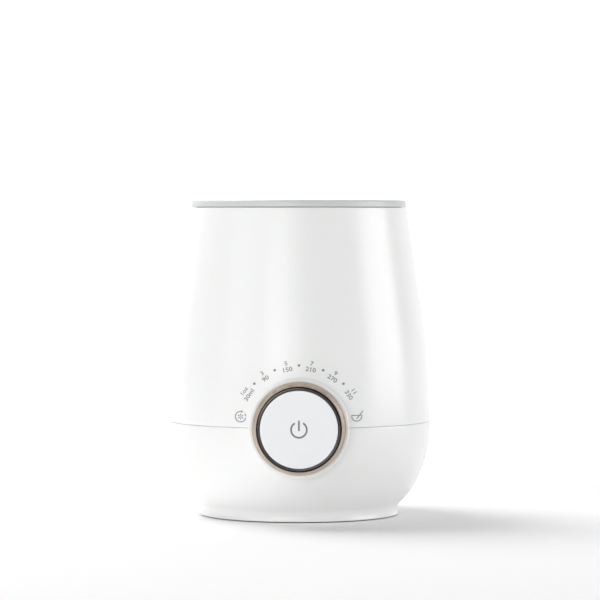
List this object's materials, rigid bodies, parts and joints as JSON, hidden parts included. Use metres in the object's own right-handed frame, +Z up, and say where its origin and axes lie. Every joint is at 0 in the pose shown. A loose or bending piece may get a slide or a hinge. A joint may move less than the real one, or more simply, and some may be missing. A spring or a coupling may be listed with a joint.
{
  "type": "bottle warmer",
  "caption": "Round countertop warmer with an open water well, a front turning dial ring and a central push button on a two-part housing.",
  "frame": {"origin": "on the floor under the middle of the round housing, at the centre of the rubber foot ring", "axes": "+Z up along the well's axis, the dial and button face -Y, +X to the right seen from the front"},
  "size_m": [0.1282, 0.1376, 0.1531],
  "materials": {
    "white_housing": "satin white ABS",
    "grey_rim": "satin light grey ABS",
    "well_plastic": "smooth polypropylene",
    "cast_aluminium": "cast, lightly blasted",
    "champagne_metal": "turned and anodised, copper tone",
    "black_plastic": "fine matt acetal",
    "grey_plastic": "matt glass-filled polyamide",
    "smoked_guide": "smoked clear polycarbonate",
    "white_button": "gloss white ABS",
    "black_rubber": "matt",
    "seal_rubber": "silicone rubber",
    "steel": "zinc plated",
    "sheath_steel": "annealed sheath",
    "board_green": "glass epoxy with solder mask",
    "brass": "plain",
    "component_black": "moulded epoxy",
    "can_aluminium": "drawn can",
    "chip_white": "phosphor chip",
    "ribbon_grey": "flat cable"
  },
  "bodies": {
    "root": {"lower_shell": "white_housing", "upper_shell": "white_housing", "rim_ring": "grey_rim", "well_liner": "well_plastic", "ledge_seal": "seal_rubber", "well_seal": "seal_rubber", "heater_plate": "cast_aluminium", "heating_element": "sheath_steel", "element_pins": "steel", "clamp_ring": "steel", "thermostat": "component_black", "temperature_sensor": "brass", "thermal_fuse": "component_black", "sensor_clip": "steel", "chassis": "grey_plastic", "chassis_screws": "steel", "base_screws": "steel", "base_plate": "grey_plastic", "foot_ring": "black_rubber", "power_board": "board_green", "board_screws": "steel", "relay": "component_black", "transformer": "component_black", "capacitors": "can_aluminium", "terminal_block": "grey_plastic", "cord_gland": "black_rubber", "cord_clamp": "grey_plastic", "clamp_screws": "steel", "dial_bracket": "grey_plastic", "bracket_screws": "steel", "detent_spring": "steel", "dial_board": "board_green", "dial_board_screws": "steel", "light_chips": "chip_white", "push_switch": "component_black", "button_hub": "black_plastic", "hub_screws": "steel", "light_guide": "smoked_guide", "ribbon_cable": "ribbon_grey"},
    "knob": {"knob_ring": "champagne_metal", "dial_rotor": "black_plastic", "contact_wiper": "brass"},
    "button": {"button_cap": "white_button", "switch_plunger": "black_plastic"}
  },
  "joints": [
    {"name": "knob_turn", "type": "hinge", "parent": "root", "child": "knob", "pos_m": [0, -0.06, 0.046], "axis": [0, 1, 0], "range_deg": [-78, 78]},
    {"name": "button_press", "type": "slide", "parent": "root", "child": "button", "axis": [0, 1, 0], "range_m": [0, 0.0012], "stiffness_N_per_m": 1500, "springref_m": -0.0005}
  ]
}
